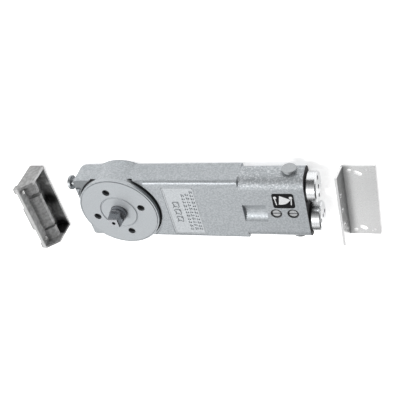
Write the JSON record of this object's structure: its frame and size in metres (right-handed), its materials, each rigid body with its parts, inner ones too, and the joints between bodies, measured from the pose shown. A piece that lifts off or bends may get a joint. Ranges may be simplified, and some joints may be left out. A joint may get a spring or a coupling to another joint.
{
  "type": "door closer",
  "caption": "Concealed overhead door closer: flat cast body, square spindle on a round bearing cap, twin spring cylinders with screwed end caps, regulating valves and two mounting clips.",
  "frame": {"origin": "on the spindle axis, in the flat back face of the body, which it lies on", "axes": "+X from the spindle to the spring end caps, +Z along the spindle out of the front face, +Y towards the side with the end stud"},
  "size_m": [0.398, 0.1064, 0.0554],
  "materials": {
    "silver_casting": "silver paint over a rough sand casting",
    "silver_cap": "silver paint over a turned face",
    "silver_nameplate": null,
    "turned_steel": "bright turned steel",
    "plated_stud": "plated steel, satin",
    "dark_steel": "oiled machined steel",
    "ground_steel": "ground steel",
    "bronze": "sintered bronze",
    "black_label": "printed black film",
    "grey_iron": "plain grey casting",
    "bright_screw": "bright zinc plate",
    "bright_sheet": "bright zinc plated sheet",
    "valve_steel": "machined steel",
    "spring_steel": "oil tempered wire",
    "black_rubber": "nitrile rubber"
  },
  "bodies": {
    "closer_body": {"housing": "silver_casting", "bearing_cap": "silver_cap", "bearing_cap_seal": "black_rubber", "upper_bush": "bronze", "shaft_seal": "black_rubber", "lower_bush": "bronze", "end_cap_1": "turned_steel", "end_cap_2": "turned_steel", "end_cap_seal_1": "black_rubber", "end_cap_seal_2": "black_rubber", "side_stud_1": "plated_stud", "side_stud_2": "plated_stud", "end_stud": "plated_stud", "nameplate": "silver_nameplate", "adjustment_label": "black_label", "spring_1": "spring_steel", "spring_2": "spring_steel"},
    "spindle": {"spindle": "dark_steel", "cam": "ground_steel", "cam_key": "ground_steel"},
    "carriage": {"carriage_plate_lower": "ground_steel", "carriage_plate_upper": "ground_steel", "crosshead": "ground_steel", "carriage_rivets": "ground_steel", "roller_pin": "ground_steel", "push_rod_1": "ground_steel", "push_rod_2": "ground_steel", "piston_1": "ground_steel", "piston_2": "ground_steel", "piston_seal_1": "black_rubber", "piston_seal_2": "black_rubber", "check_ball_1": "ground_steel", "check_ball_2": "ground_steel"},
    "cam_roller": {"cam_roller": "ground_steel"},
    "valve_screw_1": {"valve_screw_1": "valve_steel", "valve_seal_1": "black_rubber"},
    "valve_screw_2": {"valve_screw_2": "valve_steel", "valve_seal_2": "black_rubber"},
    "jamb_clip": {"jamb_clip": "grey_iron", "jamb_screws": "bright_screw"},
    "header_clip": {"header_clip": "bright_sheet"}
  },
  "joints": [
    {"name": "spindle_turn", "type": "hinge", "parent": "closer_body", "child": "spindle", "pos_m": [0, 0, 0.03], "axis": [0, 0, 1], "range_deg": [0, 105], "stiffness_Nm_per_rad": 6, "springref_deg": -143.24},
    {"name": "carriage_slide", "type": "slide", "parent": "closer_body", "child": "carriage", "axis": [1, 0, 0], "range_m": [0, 0.0211], "deforming": ["spring_1", "spring_2"]},
    {"name": "roller_spin", "type": "hinge", "parent": "carriage", "child": "cam_roller", "pos_m": [0.024, 0, 0.0165], "axis": [0, 0, 1], "continuous": true},
    {"name": "valve_1_turn", "type": "hinge", "parent": "closer_body", "child": "valve_screw_1", "pos_m": [0.1786, -0.003, 0.028], "axis": [0, 0, 1], "range_deg": [-180, 360]},
    {"name": "valve_2_turn", "type": "hinge", "parent": "closer_body", "child": "valve_screw_2", "pos_m": [0.1964, -0.003, 0.028], "axis": [0, 0, 1], "range_deg": [-180, 360]},
    {"name": "jamb_clip_slide", "type": "slide", "parent": "closer_body", "child": "jamb_clip", "axis": [0.9809, 0.1943, 0], "range_m": [0, 0.04837]},
    {"name": "header_clip_slide", "type": "slide", "parent": "closer_body", "child": "header_clip", "axis": [-0.8046, 0.5939, 0], "range_m": [0, 0.02088]}
  ],
  "couplings": [
    {"joint": "carriage_slide", "follows": "spindle_turn", "m_per_rad": 0.011459}
  ]
}
